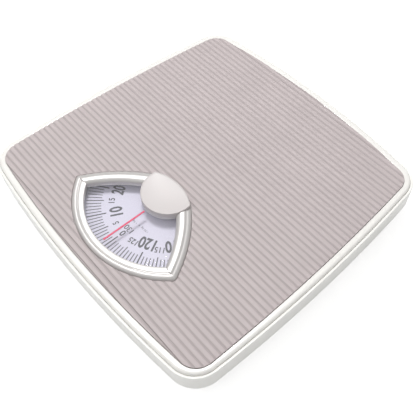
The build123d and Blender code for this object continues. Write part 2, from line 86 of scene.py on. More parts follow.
class ScaleBody(bpy.types.PropertyGroup):
    """Heights and walls of the tray and the cover."""

    pan: length("Pan height", "Underside of the tray's floor over the ground", 5.0)
    waist: length("Waist height", "Where the wall is widest, over its tapered flank", 22.0)
    rim: length("Rim height", "Top edge of the tray's wall", 41.5)
    wall: length("Wall thickness", "Thickness of the moulded tray", 1.8)
    flank: length("Flank inset", "How far the flank draws in at the floor", 8.0)
    cover_inset: length("Cover inset", "Cover's edge inside the body's outline", 2.7)
    cover_top: length("Cover height", "The cover's margin round the mat", 43.2)
    skirt: length("Skirt height", "Lower edge of the cover's skirt", 30.5)
    shoulder: length("Shoulder radius", "Round edge of the cover", 2.4)


class ScaleMat(bpy.types.PropertyGroup):
    """The ribbed mat."""

    top: length("Ridge height", "Top of the mat's ridges over the ground", 44.0)
    thick: length("Mat thickness", "From the recess to the ridges", 2.0)
    pitch: length("Rib pitch", "From one groove to the next", 5.32)
    depth: length("Groove depth", "Depth of a groove", 0.6)
    ribs: IntProperty(name="Grooves", description="Number of grooves across the mat", default=51, min=1)


class ScaleWindow(bpy.types.PropertyGroup):
    """The window frame, the cap and the dial's print."""

    frame_top: length("Frame height", "Top of the side bars", 47.4)
    cap_radius: length("Cap radius", "Radius of the round cap", 24.2)
    cap_top: length("Cap height", "Top of the cap's rim", 48.6)
    tick_width: length("Mark width", "Width of a kilogram mark", 0.8)
    tick_end: length("Mark end", "Outer end of the marks, from the hub", 72.6)
    capacity: IntProperty(name="Capacity", description="Kilograms in one turn", default=130, min=10)


class ScaleColours(bpy.types.PropertyGroup):
    """Colours of the finishes, and the painted shade of the mat's grooves."""

    body: colour("Tray", "Moulded tray", "#F4F3EF")
    enamel: colour("Enamel", "Enamelled cover", "#F0EEEA")
    ridge: colour("Mat ridge", "Top of the mat's ribs", "#C3B8B8")
    # the groove colour is painted shade: darker than the ridge so that the grooves look shaded
    groove: colour("Mat groove", "Bottom of the mat's grooves", "#B0A6A6")
    frame: colour("Window frame", "Satin plated frame", "#D6D3D1")
    cap: colour("Cap", "Satin painted cap", "#D0CAC9")
    dial: colour("Dial", "Painted dial", "#D5D2E2")
    ink: colour("Ink", "Printed marks and numbers", "#45454C")
    pale_ink: colour("Pale ink", "Printed small legend", "#85838F")
    pointer: colour("Pointer", "Painted pointer line", "#D83C63")


# ---- outlines ----


def circle_through(a, b, c):
    """Centre and radius of the circle through three points."""
    (ax, ay), (bx, by), (cx, cy) = a, b, c
    d = 2 * (ax * (by - cy) + bx * (cy - ay) + cx * (ay - by))
    sa, sb, sc = ax * ax + ay * ay, bx * bx + by * by, cx * cx + cy * cy
    ux = (sa * (by - cy) + sb * (cy - ay) + sc * (ay - by)) / d
    uy = (sa * (cx - bx) + sb * (ax - cx) + sc * (bx - ax)) / d
    return ux, uy, math.hypot(ax - ux, ay - uy)


def corner_centre(first, second, radius, near):
    """Centre of the round corner that touches two bowed sides from inside."""
    (x0, y0, r0), (x1, y1, r1) = first, second
    a, b = r0 - radius, r1 - radius
    gap = math.hypot(x1 - x0, y1 - y0)
    along = (a * a - b * b + gap * gap) / (2 * gap)
    across = math.sqrt(max(a * a - along * along, 0.0))
    ex, ey = (x1 - x0) / gap, (y1 - y0) / gap
    found = [
        (x0 + along * ex - s * across * ey, y0 + along * ey + s * across * ex) for s in (-1, 1)
    ]
    return min(found, key=lambda p: math.hypot(p[0] - near[0], p[1] - near[1]))


def four_sided(toe, heel, half_mid, toe_mid, heel_mid, toe_corner, heel_corner):
    """A bowed, round-cornered outline as (centre x, centre y, radius, angle) samples in millimetres."""
    right = circle_through(toe, (half_mid, 0), heel)
    top = circle_through((-toe[0], toe[1]), (0, toe_mid), toe)
    left = (-right[0], right[1], right[2])
    low = circle_through((-heel[0], heel[1]), (0, heel_mid), heel)
    sides = [right, top, left, low]
    nears = [toe, (-toe[0], toe[1]), (-heel[0], heel[1]), heel]
    radii = [toe_corner, toe_corner, heel_corner, heel_corner]
    corners = []
    for k in range(4):
        corners.append(corner_centre(sides[k], sides[(k + 1) % 4], radii[k], nears[k]))
    samples = []
    for k in range(4):
        cx, cy, r = sides[k]
        before, after = corners[k - 1], corners[k]
        start = math.atan2(before[1] - cy, before[0] - cx)
        end = math.atan2(after[1] - cy, after[0] - cx)
        sweep = (end - start) % (2 * math.pi)
        for i in range(SIDE_STEPS):
            samples.append((cx, cy, r, start + sweep * i / SIDE_STEPS))
        fx, fy = after
        nx, ny, _ = sides[(k + 1) % 4]
        turn_end = math.atan2(fy - ny, fx - nx)
        turn = (turn_end - end) % (2 * math.pi)
        for i in range(CORNER_STEPS):
            samples.append((fx, fy, radii[k], end + turn * i / CORNER_STEPS))
    return samples


BODY = four_sided((142.9, 133.5), (132.2, -132.5), 143.8, 142.8, -142.8, 26.0, 26.0)
MAT = four_sided((136.4, 125.6), (124.9, -123.9), 135.0, 133.8, -133.8, 17.0, 15.0)


def ring(samples, inset, z):
    """The outline drawn in by inset, at height z, all in metres."""
    return [
        Vector((
            cx * MM + (r * MM - inset) * math.cos(a),
            cy * MM + (r * MM - inset) * math.sin(a),
            z,
        ))
        for cx, cy, r, a in samples
    ]


def arc_points(a, b, c, count):
    """Points from a through b to c on one circle, in millimetres."""
    cx, cy, r = circle_through(a, b, c)
    angles = [math.atan2(p[1] - cy, p[0] - cx) for p in (a, b, c)]
    sweep = (angles[2] - angles[0]) % (2 * math.pi)
    if (angles[1] - angles[0]) % (2 * math.pi) > sweep:
        sweep -= 2 * math.pi
    return [
        (cx + r * math.cos(angles[0] + sweep * i / count), cy + r * math.sin(angles[0] + sweep * i / count))
        for i in range(count + 1)
    ]


# places in millimetres
HUB = (0.0, 40.0)
ZERO_WHEEL = (40.0, 116.0)
ZERO_HOLE = 10.4
FIFTH_GROOVE = 111.95
FRAME_FAN = dict(tip=(68.5, 88.5), side=(50.3, 59.9), knee=(27.0, 37.4), arc_y=122.0, heel_y=28.2)
WINDOW_FAN = dict(tip=(54.5, 87.5), side=(40.5, 67.6), knee=(22.0, 50.0), arc_y=112.3, heel_y=64.2)


def fan_arc(fan, count):
    """The toe arc of a fan, from the right tip to the left one."""
    (tx, ty) = fan["tip"]
    return arc_points((tx, ty), (0, fan["arc_y"]), (-tx, ty), count)


def fan_sides(fan, count, heel_count):
    """Both sides and the heel of a fan, from the left tip round to the right one."""
    (tx, ty), (sx, sy), (kx, ky) = fan["tip"], fan["side"], fan["knee"]
    left = arc_points((-tx, ty), (-sx, sy), (-kx, ky), count)
    heel = arc_points((-kx, ky), (0, fan["heel_y"]), (kx, ky), heel_count)
    right = arc_points((kx, ky), (sx, sy), (tx, ty), count)
    return left + heel[1:] + right[1:]


def fan_outline(fan, grow=0.0):
    """The whole fan in millimetres, grown outward by moving each point along its normal."""
    points = fan_sides(fan, 40, 30)[:-1] + fan_arc(fan, 60)[:-1]
    if not grow:
        return points
    moved = []
    for i, (x, y) in enumerate(points):
        ax, ay = points[i - 1]
        bx, by = points[(i + 1) % len(points)]
        ex, ey = bx - ax, by - ay
        size = math.hypot(ex, ey)
        moved.append((x + grow * ey / size, y - grow * ex / size))
    return moved


def flat_ring(points, z):
    """Millimetre points as a ring at height z in metres."""
    return [Vector((x * MM, y * MM, z)) for x, y in points]


# ---- shaping ----


def pick_only(obj):
    """Selects one object and makes it active."""
    bpy.ops.object.select_all(action="DESELECT")
    obj.select_set(True)
    bpy.context.view_layer.objects.active = obj


def skin(name, rings):
    """A closed solid through rings of points: a filled circle on the first, extruded to each next one."""
    bpy.ops.object.select_all(action="DESELECT")
    bpy.ops.mesh.primitive_circle_add(vertices=len(rings[0]), radius=0.1, fill_type="NGON")
    obj = bpy.context.active_object
    obj.name = obj.data.name = name
    for vertex, point in zip(obj.data.vertices, rings[0]):
        vertex.co = point
    bpy.ops.object.mode_set(mode="EDIT")
    bpy.ops.mesh.select_all(action="SELECT")
    for before, after in zip(rings, rings[1:]):
        bpy.ops.mesh.extrude_region_move()
        tree = KDTree(len(before))
        for i, point in enumerate(before):
            tree.insert(point, i)
        tree.balance()
        mesh = bmesh.from_edit_mesh(obj.data)
        for vertex in mesh.verts:
            if vertex.select:
                vertex.co = after[tree.find(vertex.co)[1]]
        bmesh.update_edit_mesh(obj.data)
    bpy.ops.mesh.select_all(action="SELECT")
    bpy.ops.mesh.normals_make_consistent(inside=False)
    bpy.ops.object.mode_set(mode="OBJECT")
    return obj


def carve(obj, cutter, operation="DIFFERENCE"):
    """Cuts obj with cutter, and takes cutter away."""
    pick_only(obj)
    cut = obj.modifiers.new("cut", "BOOLEAN")
    cut.operation = operation
    cut.solver = "EXACT"
    cut.object = cutter
    bpy.ops.object.modifier_apply(modifier=cut.name)
    bpy.data.objects.remove(cutter)
    if not obj.data.polygons:
        raise RuntimeError(f"{obj.name} was cut away")


def round_column(name, x, y, radius, low, high):
    """A round column, all in millimetres."""
    points = [
        (x + radius * math.cos(math.radians(5 * k)), y + radius * math.sin(math.radians(5 * k)))
        for k in range(72)
    ]
    return skin(name, [flat_ring(points, low * MM), flat_ring(points, high * MM)])


def finish_piece(obj, body, material, angle=35.0):
    """Smooths a piece, gives it its material and lets it ride on its body."""
    pick_only(obj)
    bpy.ops.object.shade_smooth_by_angle(angle=math.radians(angle))
    obj.data.materials.clear()
    obj.data.materials.append(material)
    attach(obj, body)


# ---- finishes ----


def add(tree, kind, settings=None, **links):
    """Adds a node with its settings, and links sockets named by their words."""
    node = tree.nodes.new(kind)
    for key, value in (settings or {}).items():
        if key.startswith("@"):
            node.inputs[key[1:]].default_value = value
        else:
            setattr(node, key, value)
    for key, source in links.items():
        tree.links.new(source, node.inputs[key.replace("_", " ")])
    return node


def finish(name, base, roughness, metallic=0.0, ior=1.5, coat=0.0, grain_mm=2.0, relief=0.05, vary=0.03):
    """A surface with a fine grain: it varies the tone a little and tips the highlights."""
    found = bpy.data.materials.get(name)
    if found:
        return found
    material = bpy.data.materials.new(name)
    material.use_nodes = True
    tree = material.node_tree
    shader = tree.nodes["Principled BSDF"]
    shader.inputs["Roughness"].default_value = roughness
    shader.inputs["Metallic"].default_value = metallic
    if not metallic:
        shader.inputs["IOR"].default_value = ior
    shader.inputs["Coat Weight"].default_value = coat
    place = add(tree, "ShaderNodeTexCoord")
    fine = {"@Scale": 1 / (grain_mm * MM), "@Detail": 3.0}
    noise = add(tree, "ShaderNodeTexNoise", fine, Vector=place.outputs["Object"])
    dark = tuple(c * (1 - vary) for c in base)
    tone = add(tree, "ShaderNodeValToRGB", None, Fac=noise.outputs["Fac"])
    tone.color_ramp.elements[0].position = 0.35
    tone.color_ramp.elements[0].color = (*dark, 1)
    tone.color_ramp.elements[1].position = 0.65
    tone.color_ramp.elements[1].color = (*base, 1)
    tree.links.new(tone.outputs["Color"], shader.inputs["Base Color"])
    if relief:
        bump = add(
            tree, "ShaderNodeBump", {"@Strength": 0.25, "@Distance": relief * MM}, Height=noise.outputs["Fac"]
        )
        tree.links.new(bump.outputs["Normal"], shader.inputs["Normal"])
    return material


def moulded_abs(colours):
    """Glossy moulded ABS: white, with a faint orange peel from the mould."""
    return finish("moulded_abs", tuple(colours.body), 0.3, ior=1.53, grain_mm=6.0, relief=0.02, vary=0.01)


def stove_enamel(colours):
    """Stove enamel on pressed steel: hard white gloss with a slow waviness."""
    return finish(
        "stove_enamel", tuple(colours.enamel), 0.24, ior=1.52, coat=0.3, grain_mm=9.0, relief=0.03, vary=0.01
    )


def satin_plate(colours):
    """Satin nickel plate on moulded plastic: a bright warm metal with blurred reflections."""
    return finish(
        "satin_plate", tuple(colours.frame), 0.42, metallic=0.5, grain_mm=3.0, relief=0.01, vary=0.02
    )


def satin_paint(colours):
    """Satin silver paint on a moulded cap: flat, even and nearly white."""
    return finish("satin_paint", tuple(colours.cap), 0.4, ior=1.5, grain_mm=2.0, relief=0.01, vary=0.01)


def printed_dial(colours):
    """Matt lilac-white paint on an aluminium disc."""
    return finish("printed_dial", tuple(colours.dial), 0.5, ior=1.48, grain_mm=3.0, relief=0.01, vary=0.02)


def screen_ink(colours):
    """Screen-printed dark grey ink, slightly uneven."""
    return finish("screen_ink", tuple(colours.ink), 0.55, ior=1.48, grain_mm=0.6, relief=0.01, vary=0.15)


def pale_screen_ink(colours):
    """Screen-printed pale grey ink of the small legend."""
    return finish(
        "pale_screen_ink", tuple(colours.pale_ink), 0.55, ior=1.48, grain_mm=0.6, relief=0.01, vary=0.1
    )


def pointer_paint(colours):
    """Gloss red paint of the pointer line."""
    return finish("pointer_paint", tuple(colours.pointer), 0.4, ior=1.5, grain_mm=1.0, relief=0.01, vary=0.05)


def zinc_sheet():
    """Zinc-plated sheet steel: cool grey with soft cloudy reflections."""
    return finish("zinc_sheet", linear("#A9ACAF"), 0.38, metallic=1.0, grain_mm=4.0, relief=0.02, vary=0.12)


def ground_steel():
    """Turned and ground steel: brighter, with fine tool marks."""
    return finish("ground_steel", linear("#9C9EA1"), 0.28, metallic=1.0, grain_mm=0.4, relief=0.01, vary=0.08)


def drawn_wire():
    """Oiled drawn spring wire: darker steel."""
    return finish("drawn_wire", linear("#7F8286"), 0.3, metallic=1.0, grain_mm=0.5, relief=0.01, vary=0.1)


def turned_brass():
    """Turned brass: warm yellow metal with fine turning marks."""
    return finish("turned_brass", linear("#C9A65C"), 0.3, metallic=1.0, grain_mm=0.4, relief=0.01, vary=0.08)


def acetal():
    """Moulded black acetal: dull, slightly waxy."""
    return finish("acetal", linear("#343437"), 0.45, ior=1.48, grain_mm=1.5, relief=0.03, vary=0.1)


def foot_rubber():
    """Moulded black rubber: matt, with a fine grain."""
    return finish("foot_rubber", linear("#242424"), 0.75, ior=1.52, grain_mm=0.8, relief=0.1, vary=0.2)


def cast_acrylic():
    """Clear cast acrylic sheet: alpha lets almost all light pass, and a faint gloss is left."""
    name = "cast_acrylic"
    material = bpy.data.materials.get(name)
    if material:
        return material
    material = finish(name, linear("#F8F8FC"), 0.04, ior=1.49, grain_mm=30.0, relief=0.0, vary=0.005)
    shader = material.node_tree.nodes["Principled BSDF"]
    shader.inputs["Alpha"].default_value = 0.05
    shader.inputs["Specular IOR Level"].default_value = 0.15
    return material


def ribbed_pvc(colours, mat):
    """Moulded PVC mat: matt grey-beige with a leathery grain, and painted shade that darkens the grooves
    towards their bottom.
    """
    material = bpy.data.materials.new("ribbed_pvc")
    material.use_nodes = True
    tree = material.node_tree
    shader = tree.nodes["Principled BSDF"]
    shader.inputs["Roughness"].default_value = 0.62
    shader.inputs["IOR"].default_value = 1.53
    place = add(tree, "ShaderNodeTexCoord")
    split = add(tree, "ShaderNodeSeparateXYZ", None, Vector=place.outputs["Object"])
    # painted shade: the colour goes from the ridge colour near the top to the darker groove colour at a
    # groove's bottom
    height = add(
        tree,
        "ShaderNodeMapRange",
        {"@From Min": mat.top - mat.depth, "@From Max": mat.top - 0.1 * mat.depth},
        Value=split.outputs["Z"],
    )
    # grain of about 1.2 mm, coarser than the real 0.3 mm so that it shows
    leather = {"@Scale": 1 / (1.2 * MM), "@Detail": 4.0}
    grain = add(tree, "ShaderNodeTexNoise", leather, Vector=place.outputs["Object"])
    # slow mottling of the pressed sheet, about 40 mm wide
    clouds = {"@Scale": 1 / (40 * MM), "@Detail": 2.0}
    mottle = add(tree, "ShaderNodeTexNoise", clouds, Vector=place.outputs["Object"])
    groove_shade_ramp = add(tree, "ShaderNodeValToRGB", None, Fac=height.outputs["Result"])
    groove_shade_ramp.color_ramp.elements[0].color = (*colours.groove, 1)
    groove_shade_ramp.color_ramp.elements[1].color = (*colours.ridge, 1)
    # the painted groove shade, multiplied by the slow mottling
    shade = add(tree, "ShaderNodeMix", {"data_type": "RGBA", "blend_type": "MULTIPLY"})
    mottle_strength = 0.12
    shade.inputs[0].default_value = mottle_strength
    tree.links.new(groove_shade_ramp.outputs["Color"], shade.inputs[6])
    tree.links.new(mottle.outputs["Fac"], shade.inputs[7])
    tree.links.new(shade.outputs[2], shader.inputs["Base Color"])
    pores = {"@Strength": 0.4, "@Distance": 0.12 * MM}
    bump = add(tree, "ShaderNodeBump", pores, Height=grain.outputs["Fac"])
    tree.links.new(bump.outputs["Normal"], shader.inputs["Normal"])
    return material


# ---- pieces ----


class SCALE_OT_tray(bpy.types.Operator):
    """Adds the moulded tray: tapered flank, upright wall, rolled rim and a hole for the zero wheel."""

    bl_idname = "scale.tray"
    bl_label = "Tray"

    def execute(self, context):
        body = context.scene.scale_body
        floor = body.pan + body.wall
        drop = body.waist - body.pan
        foot_round = 2 * MM
        # a step under the rim closes the seam to 0.25 mm beside the cover
        seam = body.cover_inset - 0.25 * MM
        rings = []
        # the flank leaves the floor with a small round and joins the wall in a soft bend
        for k in range(6):
            a = math.radians(18 * k)
            inset = body.flank + foot_round * (1 - math.sin(a))
            rings.append((inset, body.pan + foot_round * (1 - math.cos(a))))
        for share in (0.35, 0.6, 0.8):
            rings.append((body.flank * (1 - share), body.pan + foot_round + (drop - foot_round) * share))
        rings += [
            (body.flank * 0.06, body.waist - 1.4 * MM),
            (0.0, body.waist + 1.5 * MM),
            (0.0, body.rim - 0.9 * MM),
            (0.12 * MM, body.rim - 0.4 * MM),
            (0.45 * MM, body.rim - 0.08 * MM),
            (0.9 * MM, body.rim),
            (1.35 * MM, body.rim - 0.08 * MM),
            (body.wall, body.rim - 0.5 * MM),
            (seam, body.rim - 0.8 * MM),
            (seam, body.waist + 0.5 * MM),
            (seam + body.flank * 0.85, floor + 1.5 * MM),
            (seam + body.flank + 1.0 * MM, floor),
        ]
        tray = skin("tray_shell", [ring(BODY, inset, z) for inset, z in rings])
        carve(tray, round_column("zero_hole", *ZERO_WHEEL, ZERO_HOLE, low=0.0, high=12.0))
        finish_piece(tray, "housing", moulded_abs(context.scene.scale_colours))
        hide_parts("base_tray")
        return {"FINISHED"}


class SCALE_OT_cover(bpy.types.Operator):
    """Adds the pressed cover: skirt, round shoulder, margin, recess for the mat and the window's hole."""

    bl_idname = "scale.cover"
    bl_label = "Cover"

    def execute(self, context):
        body, mat = context.scene.scale_body, context.scene.scale_mat
        sheet = 1.0 * MM
        edge, top, r = body.cover_inset, body.cover_top, body.shoulder
        seat = mat.top - mat.thick
        # the mat drops in with 0.3 mm of play, and the pressed sheet lies outside that
        play = 0.3 * MM
        rings = [ring(MAT, -(play + sheet), seat - sheet), ring(MAT, -(play + sheet), top - sheet)]
        inner = r - sheet
        for k in range(7):
            a = math.radians(15 * k)
            rings.append(
                ring(BODY, edge + sheet + inner * (1 - math.sin(a)), top - sheet - inner * (1 - math.cos(a)))
            )
        rings.append(ring(BODY, edge + sheet, body.skirt))
        rings.append(ring(BODY, edge, body.skirt))
        for k in range(10):
            a = math.radians(10 * k)
            rings.append(ring(BODY, edge + r * (1 - math.cos(a)), top - r * (1 - math.sin(a))))
        rings += [
            ring(MAT, -0.9 * MM, top),
            ring(MAT, -0.5 * MM, top - 0.12 * MM),
            ring(MAT, -play, top - 0.4 * MM),
            ring(MAT, -play, seat),
        ]
        cover = skin("cover_shell", rings)
        hole = fan_outline(WINDOW_FAN)
        carve(cover, skin("window_hole", [flat_ring(hole, seat - 4 * MM), flat_ring(hole, seat + 4 * MM)]))
        finish_piece(cover, "platform", stove_enamel(context.scene.scale_colours))
        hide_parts("platform_cover")
        return {"FINISHED"}


class SCALE_OT_mat(bpy.types.Operator):
    """Adds the ribbed mat: a grooved sheet cut to the recess and round the window frame."""

    bl_idname = "scale.mat"
    bl_label = "Mat"

    def execute(self, context):
        mat = context.scene.scale_mat
        seat = mat.top - mat.thick
        # half a groove, as (distance from its middle in mm, share of the depth)
        flank = [(0.0, 1.0), (0.35, 0.97), (0.6, 0.8), (0.8, 0.5), (1.0, 0.2), (1.3, 0.04), (1.8, 0.0)]
        groove = [(-d, s) for d, s in reversed(flank[1:])] + flank
        first = FIFTH_GROOVE * MM + 4 * mat.pitch
        half_blank = 0.15
        rows = [(half_blank, mat.top)]
        for k in range(mat.ribs):
            y = first - k * mat.pitch
            for d, share in groove:
                rows.append((y - d * MM, mat.top - share * mat.depth))
        rows.append((-half_blank, mat.top))
        bpy.ops.object.select_all(action="DESELECT")
        bpy.ops.mesh.primitive_grid_add(x_subdivisions=1, y_subdivisions=len(rows) - 1, size=0.3)
        sheet = context.active_object
        sheet.name = sheet.data.name = "mat"
        for i, vertex in enumerate(sheet.data.vertices):
            y, z = rows[i // 2]
            vertex.co = Vector((half_blank if i % 2 else -half_blank, y, z))
        bpy.ops.object.mode_set(mode="EDIT")
        bpy.ops.mesh.select_all(action="SELECT")
        bpy.ops.mesh.extrude_region_move()
        mesh = bmesh.from_edit_mesh(sheet.data)
        for vertex in mesh.verts:
            if vertex.select:
                vertex.co.z = seat - 3 * MM
        bmesh.update_edit_mesh(sheet.data)
        bpy.ops.mesh.select_all(action="SELECT")
        bpy.ops.mesh.normals_make_consistent(inside=False)
        bpy.ops.object.mode_set(mode="OBJECT")
        blank = skin("blank", [ring(MAT, 0.0, seat), ring(MAT, 0.0, mat.top + 1 * MM)])
        carve(sheet, blank, "INTERSECT")
        around = fan_outline(FRAME_FAN, grow=0.3)
        carve(sheet, skin("opening", [flat_ring(around, seat - 2 * MM), flat_ring(around, mat.top + 2 * MM)]))
        finish_piece(sheet, "platform", ribbed_pvc(context.scene.scale_colours, mat), 50.0)
        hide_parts("ribbed_mat")
        return {"FINISHED"}


def moulding(name, outer, inner, profile):
    """A bar whose section runs from the outer line to the inner one: (share across, height in mm)."""
    rings = []
    for (ox, oy), (ix, iy) in zip(outer, inner):
        rings.append([
            Vector(((ox + share * (ix - ox)) * MM, (oy + share * (iy - oy)) * MM, z * MM))
            for share, z in profile
        ])
    return skin(name, rings)


class SCALE_OT_window_frame(bpy.types.Operator):
    """Adds the fan-shaped frame: an arc bar with a ledge, and side bars that run over its ends."""

    bl_idname = "scale.window_frame"
    bl_label = "Window frame"

    def execute(self, context):
        top = context.scene.scale_window.frame_top / MM
        seat = 42.0
        # a round outer bead, a narrow valley and a flat ledge
        arc_section = [
            (0.0, seat), (0.0, 43.3), (0.02, 44.1), (0.07, 45.0), (0.15, 45.8), (0.24, 46.25),
            (0.33, 46.35), (0.4, 46.2), (0.44, 45.85), (0.48, 45.7), (0.52, 45.85), (0.56, 46.1),
            (0.62, 46.2), (0.93, 46.05), (0.98, 45.85), (1.0, 45.4), (1.0, seat),
        ]
        # a low outer shoulder and a higher inner bead
        side_section = [
            (0.0, seat), (0.0, 43.4), (0.03, 44.2), (0.09, 45.1), (0.17, 45.8), (0.25, 46.15), (0.3, 46.2),
            (0.35, 46.45), (0.4, top - 0.35), (0.47, top - 0.06), (0.54, top), (0.72, top - 0.06),
            (0.8, top - 0.4), (0.88, top - 1.1), (0.95, top - 2.0), (1.0, top - 3.0), (1.0, seat),
        ]
        arc = moulding("arc_bar", fan_arc(FRAME_FAN, 72), fan_arc(WINDOW_FAN, 72), arc_section)
        sides = moulding(
            "window_frame", fan_sides(FRAME_FAN, 40, 24), fan_sides(WINDOW_FAN, 40, 24), side_section
        )
        carve(sides, arc, "UNION")
        carve(sides, round_column("cap_seat", *HUB, radius=24.4, low=45.0, high=50.0))
        finish_piece(sides, "platform", satin_plate(context.scene.scale_colours), 40.0)
        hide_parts("window_bezel")
        return {"FINISHED"}


def reach(outline, angle):
    """Distance from the hub to the outline in a direction, in millimetres."""
    dx, dy = math.cos(angle), math.sin(angle)
    best = 1e9
    for i, (bx, by) in enumerate(outline):
        ax, ay = outline[i - 1]
        ex, ey = bx - ax, by - ay
        cross = dx * ey - dy * ex
        if abs(cross) < 1e-9:
            continue
        px, py = ax - HUB[0], ay - HUB[1]
        away = (px * ey - py * ex) / cross
        share = (px * dy - py * dx) / cross
        if away > 0 and -1e-6 <= share <= 1 + 1e-6:
            best = min(best, away)
    return best


class SCALE_OT_cap(bpy.types.Operator):
    """Adds the round cap with its thin raised rim, cut off along the frame's heel."""

    bl_idname = "scale.cap"
    bl_label = "Cap"

    def execute(self, context):
        window = context.scene.scale_window
        radius, top = window.cap_radius / MM, window.cap_top / MM
        outline = fan_outline(FRAME_FAN)
        angles = [2 * math.pi * k / 144 for k in range(144)]
        limits = [min(radius, reach(outline, a) - 0.8) for a in angles]
        section = [
            (0.0, 45.05), (0.0, top - 0.75), (0.1, top - 0.35), (0.3, top - 0.08), (0.6, top),
            (0.9, top - 0.08), (1.15, top - 0.25), (1.5, top - 0.34),
        ]
        rings = []
        for inset, z in section:
            points = [
                (HUB[0] + (far - inset) * math.cos(a), HUB[1] + (far - inset) * math.sin(a))
                for far, a in zip(limits, angles)
            ]
            rings.append(flat_ring(points, z * MM))
        cap = skin("cap", rings)
        finish_piece(cap, "platform", satin_paint(context.scene.scale_colours), 30.0)
        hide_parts("bezel_cap")
        return {"FINISHED"}


# half the thickness of a printed number
INK = 0.02
# each kind of mark: its inner end from the hub, and its width over a kilogram mark's
MARKS = (("ten", 55.4, 1.5), ("five", 57.2, 1.15), ("one", 59.2, 1.0))


def label(text, tall, wide, radius, turn, stroke=0.0):
    """A printed number as a thin solid: its middle at radius from the hub, turned clockwise in degrees."""
    bpy.ops.object.select_all(action="DESELECT")
    bpy.ops.object.text_add()
    obj = bpy.context.active_object
    obj.data.body = text
    obj.data.offset = stroke
    half_depth = 0.01
    obj.data.extrude = half_depth
    bpy.ops.object.convert(target="MESH")
    obj = bpy.context.active_object
    xs = [v.co.x for v in obj.data.vertices]
    ys = [v.co.y for v in obj.data.vertices]
    wide_now, tall_now = max(xs) - min(xs), max(ys) - min(ys)
    middle = Vector(((max(xs) + min(xs)) / 2, (max(ys) + min(ys)) / 2, 0))
    size = Matrix.Diagonal((wide * MM / wide_now, tall * MM / tall_now, INK * MM / half_depth, 1))
    out = Matrix.Translation(Vector((0, radius * MM, 0)))
    place = Matrix.Translation(Vector((HUB[0] * MM, HUB[1] * MM, dial_top() + INK * MM)))
    spin = Matrix.Rotation(-math.radians(turn), 4, "Z")
    obj.data.transform(place @ spin @ out @ size @ Matrix.Translation(-middle))
    return obj


def dial_top():
    """Height of the dial's face."""
    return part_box("dial_disc")[1].z


def gather(name, objects):
    """Joins objects into one piece."""
    pick_only(objects[0])
    for obj in objects:
        obj.select_set(True)
    if len(objects) > 1:
        bpy.ops.object.join()
    whole = bpy.context.active_object
    whole.name = whole.data.name = name
    bpy.ops.object.mode_set(mode="EDIT")
    bpy.ops.mesh.select_all(action="SELECT")
    bpy.ops.mesh.remove_doubles(threshold=1e-7)
    bpy.ops.mesh.normals_make_consistent(inside=False)
    bpy.ops.object.mode_set(mode="OBJECT")
    return whole


class SCALE_OT_dial_marks(bpy.types.Operator):
    """Adds the printed kilogram marks round the dial."""

    bl_idname = "scale.dial_marks"
    bl_label = "Dial marks"

    def execute(self, context):
        window = context.scene.scale_window
        colours = context.scene.scale_colours
        step = 360 / window.capacity
        base = dial_top()
        marks = []
        for kind, inner, factor in MARKS:
            half = window.tick_width * factor / 2
            low, high = inner * MM, window.tick_end
            bpy.ops.object.select_all(action="DESELECT")
            bpy.ops.mesh.primitive_cube_add(size=1)
            mark = context.active_object
            bpy.ops.object.mode_set(mode="EDIT")
            bpy.ops.mesh.bevel(offset=0.06, segments=1, affect="EDGES")
            bpy.ops.object.mode_set(mode="OBJECT")
            mark.data.transform(
                Matrix.Translation(Vector((0, (low + high) / 2, 0)))
                @ Matrix.Diagonal((2 * half, high - low, 0.04 * MM, 1))
            )
            for k in range(window.capacity):
                wanted = "ten" if k % 10 == 0 else "five" if k % 5 == 0 else "one"
                if wanted != kind:
                    continue
                copy = mark.copy()
                copy.data = mark.data.copy()
                context.collection.objects.link(copy)
                copy.data.transform(
                    Matrix.Translation(Vector((HUB[0] * MM, HUB[1] * MM, base + 0.01 * MM)))
                    @ Matrix.Rotation(-math.radians(step * k), 4, "Z")
                )
                marks.append(copy)
            bpy.data.objects.remove(mark)
        finish_piece(gather("dial_marks", marks), "dial", screen_ink(colours))
        return {"FINISHED"}


class SCALE_OT_dial_numbers(bpy.types.Operator):
    """Adds the printed numbers and the small capacity legend of the dial."""

    bl_idname = "scale.dial_numbers"
    bl_label = "Dial numbers"

    def execute(self, context):
        window = context.scene.scale_window
        colours = context.scene.scale_colours
        step = 360 / window.capacity
        tens, fives = [], []
        for k in range(5, window.capacity, 5):
            text = str(k)
            if k % 10:
                wide = 2.8 * len(text) - 0.3
                fives.append(label(text, tall=5.4, wide=wide, radius=50.4, turn=step * k, stroke=0.02))
            else:
                wide = 5.0 * len(text) - 0.7
                tens.append(label(text, tall=11.4, wide=wide, radius=46.9, turn=step * k, stroke=0.03))
        fives.append(label("0", tall=6.2, wide=3.6, radius=50.6, turn=0.0, stroke=0.025))
        fives.append(label(str(window.capacity), tall=5.2, wide=8.6, radius=44.3, turn=0.0, stroke=0.012))
        words = f"{window.capacity} kg  x  1 kg"
        legend = label(words, tall=2.6, wide=18.0, radius=35.6, turn=-7.0, stroke=0.01)
        finish_piece(gather("dial_tens", tens), "dial", screen_ink(colours))
        finish_piece(gather("dial_fives", fives), "dial", screen_ink(colours))
        finish_piece(gather("dial_legend", [legend]), "dial", pale_screen_ink(colours))
        return {"FINISHED"}


class SCALE_OT_inner_finishes(bpy.types.Operator):
    """Gives the pieces that come from the frame their finishes."""

    bl_idname = "scale.inner_finishes"
    bl_label = "Inner finishes"

    def execute(self, context):
        colours = context.scene.scale_colours
        slots = {
            "lens_clear": cast_acrylic(),
            "pointer_red": pointer_paint(colours),
            "dial_face": printed_dial(colours),
            "turned_brass": turned_brass(),
            "acetal": acetal(),
            "sheet_steel": zinc_sheet(),
            "turned_steel": ground_steel(),
            "spring_steel": drawn_wire(),
            "foot_rubber": foot_rubber(),
        }
        finishes = {row["node"]: slots.get(row["material_slot"]) for row in frame["record"]["subparts"]}
        for name, obj in frame["nodes"].items():
            material = finishes.get(name)
            if material is None:
                continue
            obj.data.materials.clear()
            obj.data.materials.append(material)
        return {"FINISHED"}


